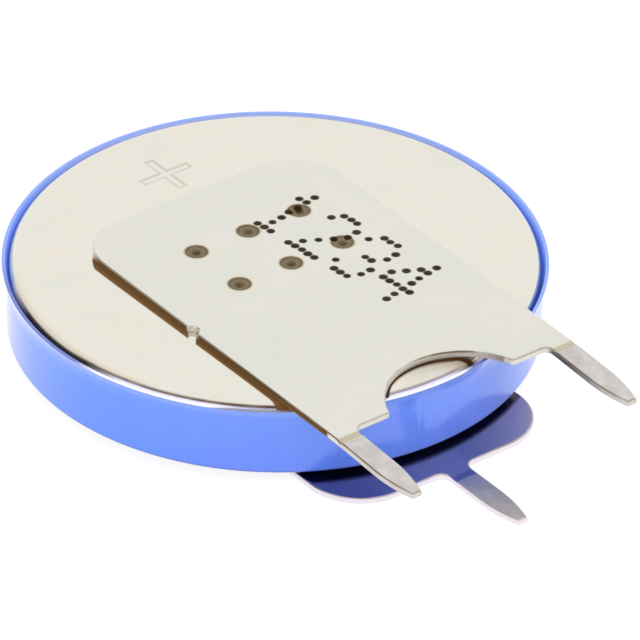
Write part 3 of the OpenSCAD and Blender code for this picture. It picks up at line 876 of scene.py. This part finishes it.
def sleeve_material():
    """Glossy blue film: faint upright streaks, painted shade low down, a paler painted band on top, a cut
    edge painted bright, a painted glow inside.
    """
    s = Surface("Blue film")
    x, _, z = s.axes()
    top = sleeve_high.z
    streak = s.noise(1.6, 3, (1, 1, 0.06))
    cloud = s.noise(0.3, 2)
    colour = s.mix(s.span(streak, 0.3, 0.7), rgb(92, 138, 254), rgb(97, 143, 255))
    colour = s.mix(s.span(cloud, 0.3, 0.75, 0, 0.5), colour, rgb(89, 132, 252))
    # Painted shade: darker towards the bottom
    colour = s.mix(s.span(z, 2.6, 0.9, 0, 0.2), colour, rgb(84, 108, 246))
    # Painted light: a cooler blue towards the left
    colour = s.mix(s.span(x, -7.5, -9.8, 0, 0.45), colour, rgb(62, 142, 252))
    # Painted shade under the foot, nearly black
    colour = s.mix(s.span(z, 0.6, 0.46, 0, 0.8), colour, rgb(30, 30, 110))
    # Painted highlight: a paler band at the top of the wall
    colour = s.mix(s.span(z, top - 0.34, top - 0.26, 0, 0.75), colour, rgb(112, 156, 254))
    # The cut edge is blue, with painted shade on the left, under the tag's edge and past the arch, and a
    # white painted highlight on the side of the pins
    ahead = s.along(TO_FRONT)
    edge = s.mix(s.span(s.along(TO_LEFT), 8.8, 9.7), rgb(130, 162, 252), rgb(84, 106, 196))
    edge = s.mix(s.span(ahead, 6.1, 7.0), edge, rgb(255, 249, 251))
    edge = s.mix(s.span(s.along(TO_CAMERA), 10.02, 10.12, 0, 0.9), edge, rgb(106, 98, 124))
    past_arch = s.product(s.span(s.along(TO_RIGHT), 9.3, 9.5), s.span(x, 5.4, 4.4))
    edge = s.mix(past_arch, edge, rgb(96, 112, 196))
    colour = s.mix(s.mask("rim"), colour, edge)
    # Painted light on the film's inside: painted shade deeper down, a paler lining at the very back, and a
    # painted glow, blue at the back and on the left, pale near the pins
    deep, lining = s.mask("inside"), s.mask("lining")
    colour = s.mix(deep, colour, rgb(70, 92, 236))
    colour = s.mix(s.product(lining, s.span(ahead, -4, -8)), colour, rgb(172, 190, 250))
    glow = s.mix(deep, rgb(97, 110, 144), rgb(72, 98, 172))
    glow = s.mix(s.span(ahead, 6.4, 7.4), glow, rgb(225, 218, 226))
    power = s.most(s.span(ahead, 0.5, 4.5, 0.6, 0.3), s.span(ahead, 6.4, 7.4, 0, 0.6))
    s.set(Emission_Color=glow, Emission_Strength=s.product(lining, power, s.span(ahead, -8, -4)))
    s.set(Base_Color=colour, Roughness=s.span(s.noise(5, 3), 0.3, 0.7, 0.24, 0.3),
          Normal=s.bump(streak, 0.002), Coat_Weight=1.0, Coat_Roughness=0.12)
    return s.material


def plain(name, light, dark, rough, metallic, scale, height, stretch=(1, 1, 1)):
    """Material of a hidden piece: two close shades, with grain in its gloss and relief."""
    s = Surface(name)
    cloud = s.noise(scale / 6, 3, stretch)
    grain = s.noise(scale, 4, stretch)
    colour = s.mix(s.span(cloud, 0.3, 0.7), rgb(*light), rgb(*dark))
    s.set(Base_Color=colour, Metallic=metallic, Roughness=s.span(grain, 0.3, 0.7, rough, rough + 0.12),
          Normal=s.bump(grain, height))
    return s.material


# Pieces

upper_nickel = tag_material("Upper tag nickel", tint=(229, 227, 219), pin_tint=(217, 212, 208),
                            pin_rough=0.1, edge_tint=(216, 208, 198), edge_part=0.35, is_upper_tag=1.0)
# The lower tag is a darker, violet copy of the same nickel: painted shade, and a painted reflection of the
# blue sleeve
lower_nickel_painted_shade = tag_material("Lower tag nickel", tint=(178, 166, 176), pin_tint=(198, 191, 187),
                            pin_rough=0.25, edge_tint=(240, 232, 240), edge_part=0.9, is_upper_tag=0.0)
build_tag("Positive_tag_sheet", "positive_tag", closed(positive_half(False), positive_half(True)),
          base_z=TOP_Z, slope_y=POS_CREASE_Y, crease_y=POS_CREASE_Y, crease_depth=CREASE_DEPTH,
          pin_xs=(-PIN_X, PIN_X), welds_up=True, dots=number_dots(), material=upper_nickel)
build_tag("Negative_tag_sheet", "negative_tag", closed(negative_half(), negative_half()),
          base_z=0.0, slope_y=None, crease_y=NEG_CREASE_Y, crease_depth=NEG_CREASE_DEPTH,
          pin_xs=(0.0,), welds_up=False, dots=[], material=lower_nickel_painted_shade)
build_sleeve(sleeve_material())
build_can(can_material())

hidden = {
    "negative_cap": plain("Cap steel", (217, 216, 210), (206, 205, 198), 0.14, 1.0, 9, 0.0006),
    "sealing_gasket": plain("Gasket plastic", (236, 235, 226), (226, 225, 214), 0.35, 0.0, 8, 0.004),
    "cathode_collector": plain("Collector steel", (168, 168, 165), (150, 149, 145), 0.3, 1.0, 12, 0.004),
    "cathode_pellet": plain("Pressed powder", (50, 48, 46), (36, 35, 34), 0.8, 0.0, 14, 0.02),
    "separator": plain("Separator sheet", (243, 242, 237), (232, 231, 225), 0.8, 0.0, 12, 0.012, (1, 0.3, 1)),
    "lithium_anode": plain("Lithium metal", (186, 189, 193), (160, 164, 170), 0.35, 1.0, 10, 0.004),
}
for node, material in hidden.items():
    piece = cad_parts[node]
    piece.data.materials.clear()
    piece.data.materials.append(material)


# Floor, light and camera

def build_floor():
    """White table. The camera and mirrors see it evenly white, with the cell's faint shadow."""
    mesh = bpy.data.meshes.new("Floor")
    size = 1.5
    corners = [(x * size, y * size, 0) for x, y in ((-1, -1), (1, -1), (1, 1), (-1, 1))]
    mesh.from_pydata(corners, [], [(0, 1, 2, 3)])
    floor = bpy.data.objects.new("Floor", mesh)
    floor.location.z = -0.00002   # just clear of the lower tag
    scene.collection.objects.link(floor)
    material = bpy.data.materials.new("White table")
    material.use_nodes = True
    tree = material.node_tree
    tree.nodes.clear()
    path = add_node(tree, "ShaderNodeLightPath").outputs
    seen = add_node(tree, "ShaderNodeMath", {0: path["Is Camera Ray"], 1: path["Is Glossy Ray"]},
                    operation="MAXIMUM").outputs[0]
    matte = add_node(tree, "ShaderNodeBsdfDiffuse", {"Color": (0.85, 0.85, 0.85, 1)}).outputs[0]
    pale = add_node(tree, "ShaderNodeBsdfDiffuse", {"Color": (0.25, 0.25, 0.25, 1)}).outputs[0]
    glow = add_node(tree, "ShaderNodeEmission", {"Strength": 0.86}).outputs[0]
    lit = add_node(tree, "ShaderNodeAddShader", {0: pale, 1: glow}).outputs[0]
    mixed = add_node(tree, "ShaderNodeMixShader", {0: seen, 1: matte, 2: lit}).outputs[0]
    add_node(tree, "ShaderNodeOutputMaterial", {0: mixed})
    mesh.materials.append(material)


def build_world():
    """White all round, with one dark, warm side for mirrors, such as a studio wall, which draws the edges."""
    world = bpy.data.worlds.new("Studio")
    scene.world = world
    world.use_nodes = True
    tree = world.node_tree
    tree.nodes.clear()
    white, warm = (1.0, 1.0, 1.0, 1), (0.3, 0.165, 0.06, 1)
    way = add_node(tree, "ShaderNodeTexCoord").outputs["Generated"]
    wall = Vector((-0.512, 0.655, 0.555)).normalized()
    facing = add_node(tree, "ShaderNodeVectorMath", {0: way, 1: wall},
                      operation="DOT_PRODUCT").outputs["Value"]
    edges = {"Value": facing, "From Min": cos(radians(34)), "From Max": cos(radians(16))}
    near = add_node(tree, "ShaderNodeMapRange", edges, interpolation_type="SMOOTHSTEP").outputs[0]
    mirrored = add_node(tree, "ShaderNodeMix", {0: near, 6: white, 7: warm}, data_type="RGBA").outputs[2]
    path = add_node(tree, "ShaderNodeLightPath").outputs
    seen = add_node(tree, "ShaderNodeMath", {0: path["Is Camera Ray"], 1: path["Is Transmission Ray"]},
                    operation="MAXIMUM").outputs[0]
    diffuse, gloss, plain_white = (
        add_node(tree, "ShaderNodeBackground", {"Color": colour, "Strength": strength}).outputs[0]
        for colour, strength in ((white, 0.86), (mirrored, 1.0), (white, 1.0)))
    first = add_node(tree, "ShaderNodeMixShader", {0: path["Is Glossy Ray"], 1: diffuse, 2: gloss}).outputs[0]
    second = add_node(tree, "ShaderNodeMixShader", {0: seen, 1: first, 2: plain_white}).outputs[0]
    add_node(tree, "ShaderNodeOutputWorld", {0: second})


def add_lamp(name, direction, size, power):
    """Soft square lamp that shines on the cell from a direction."""
    lamp = bpy.data.lights.new(name, "AREA")
    lamp.shape = "SQUARE"
    lamp.size = size
    lamp.energy = power
    piece = bpy.data.objects.new(name, lamp)
    scene.collection.objects.link(piece)
    way = Vector(direction).normalized()
    piece.location = way * LAMP_DISTANCE
    piece.rotation_euler = way.to_track_quat("Z", "Y").to_euler()
    piece.visible_glossy = False
    piece.visible_camera = False


def build_camera():
    """Camera from the photograph. Its place was fitted to the sleeve's ellipse and the tags' corners."""
    lens = 450.0
    elevation = radians(33.735)
    roll = radians(1.0935)
    azimuth = radians(-38.0)
    across, above, away = -0.16237, 0.22898, 29.2082   # place of the sleeve's upper centre, in sleeve radii
    right, up = Vector((1, 0, 0)), Vector((0, sin(elevation), cos(elevation)))
    back = Vector((0, -cos(elevation), sin(elevation)))
    right, up = cos(roll) * right + sin(roll) * up, cos(roll) * up - sin(roll) * right
    turn = Matrix.Rotation(azimuth, 3, "Z")
    right, up, back = turn @ right, turn @ up, turn @ back
    place = (back * away - right * across - up * above) * SLEEVE_R * MM
    place.z += sleeve_high.z * MM
    data = bpy.data.cameras.new("Camera")
    data.lens = lens
    data.sensor_width = 36
    data.clip_start = 0.01
    data.clip_end = 10
    camera = bpy.data.objects.new("Camera", data)
    scene.collection.objects.link(camera)
    camera.matrix_world = Matrix.Translation(place) @ Matrix((right, up, back)).transposed().to_4x4()
    scene.camera = camera


build_floor()
build_world()
add_lamp("Key_lamp", (-0.75, -0.25, 0.9), 0.5, 0.9)
add_lamp("Fill_lamp", (0.6, -0.6, 0.7), 0.6, 0.9)
build_camera()
scene.view_settings.view_transform = "Standard"
